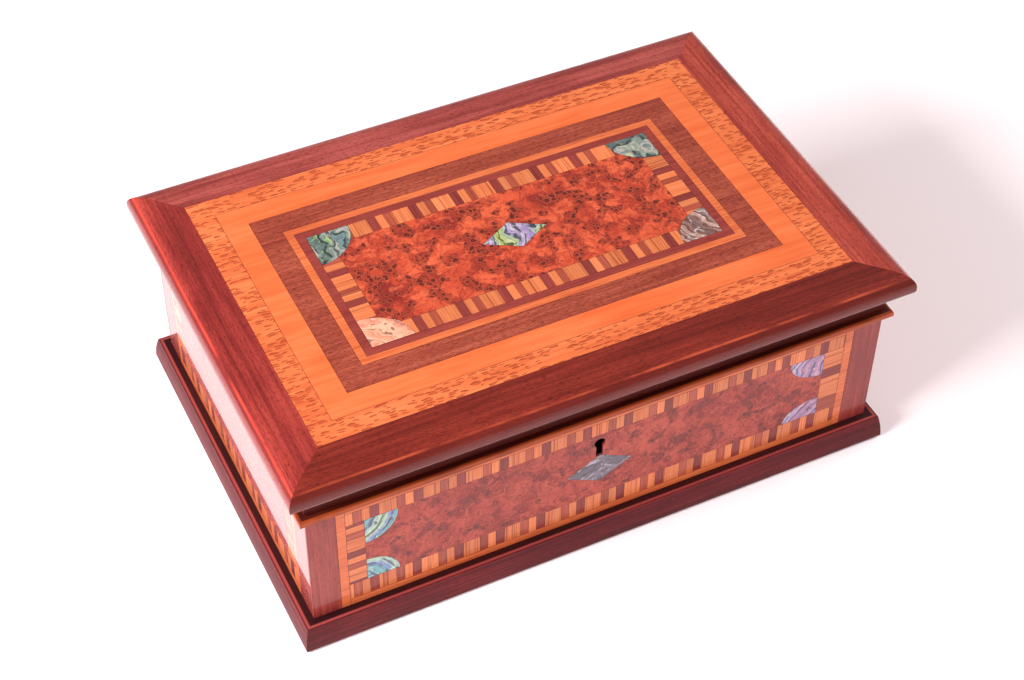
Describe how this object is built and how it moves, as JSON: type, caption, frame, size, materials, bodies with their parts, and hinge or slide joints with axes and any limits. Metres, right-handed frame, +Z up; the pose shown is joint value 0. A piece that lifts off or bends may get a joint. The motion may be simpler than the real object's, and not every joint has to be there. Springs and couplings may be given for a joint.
{
  "type": "inlaid wooden jewellery box",
  "caption": "Rectangular hinged-lid box with mitred moulded lid frame, inlaid wood bands, burl panels and shell insets, a box lock and a plinth base.",
  "frame": {"origin": "middle of the underside of the plinth", "axes": "+X along the front to the right, -Y out of the front, +Z up"},
  "size_m": [0.2976, 0.2016, 0.1068],
  "materials": {
    "dark_rosewood": "polished, streaky grain",
    "lacewood": "polished, flecked",
    "plain_orange_wood": "polished, straight grain",
    "brown_wood": "polished, open pores",
    "stringing_wood": "polished, fine lines",
    "maroon_wood": "polished",
    "light_block": "polished",
    "mid_block": "polished",
    "dark_block": "polished",
    "burl": "polished burl with eyes",
    "carcase_wood": "waxed, plain",
    "plinth_wood": "polished, dark",
    "shell": "polished abalone shell, iridescent",
    "brass": "polished, tarnished",
    "steel": "plain"
  },
  "bodies": {
    "box": {"back_veneer": "maroon_wood", "back_wall": "carcase_wood", "base_moulding_back": "plinth_wood", "base_moulding_front": "plinth_wood", "base_moulding_left": "plinth_wood", "base_moulding_right": "plinth_wood", "body_screws": "brass", "bottom_board": "carcase_wood", "front_burl_panel": "burl", "front_dark_blocks": "dark_block", "front_light_blocks": "light_block", "front_mid_blocks": "mid_block", "front_shell_corners": "shell", "front_shell_diamond": "shell", "front_stiles": "dark_rosewood", "front_stringing": "stringing_wood", "front_wall": "carcase_wood", "hinge_body_leaves": "brass", "hinge_pins": "steel", "left_wall": "carcase_wood", "lock_case": "brass", "lock_pin": "steel", "lock_plate": "brass", "right_wall": "carcase_wood", "side_burl_panels": "burl", "side_dark_blocks": "dark_block", "side_light_blocks": "light_block", "side_mid_blocks": "mid_block", "side_stiles": "dark_rosewood", "side_stringing": "stringing_wood", "top_fillet_back": "brown_wood", "top_fillet_front": "brown_wood", "top_fillet_left": "brown_wood", "top_fillet_right": "brown_wood"},
    "lid": {"hinge_lid_leaves": "brass", "lid_brown_band": "brown_wood", "lid_burl_panel": "burl", "lid_dark_blocks": "dark_block", "lid_frame_back": "dark_rosewood", "lid_frame_front": "dark_rosewood", "lid_frame_left": "dark_rosewood", "lid_frame_right": "dark_rosewood", "lid_lacewood_band": "lacewood", "lid_light_blocks": "light_block", "lid_maroon_strip": "maroon_wood", "lid_mid_blocks": "mid_block", "lid_panel": "carcase_wood", "lid_plain_band": "plain_orange_wood", "lid_rim_back": "dark_rosewood", "lid_rim_front": "dark_rosewood", "lid_rim_left": "dark_rosewood", "lid_rim_right": "dark_rosewood", "lid_screws": "brass", "lid_shell_corners": "shell", "lid_shell_diamond": "shell", "lid_stringing": "stringing_wood", "link_plate": "brass"},
    "bolt": {"lock_bolt": "brass"}
  },
  "joints": [
    {"name": "lid_hinge", "type": "hinge", "parent": "box", "child": "lid", "pos_m": [0, 0.0954, 0.08265], "axis": [-1, 0, 0], "range_deg": [0, 100]},
    {"name": "lock_bolt_slide", "type": "slide", "parent": "box", "child": "bolt", "axis": [1, 0, 0], "range_m": [0, 0.0035]}
  ]
}
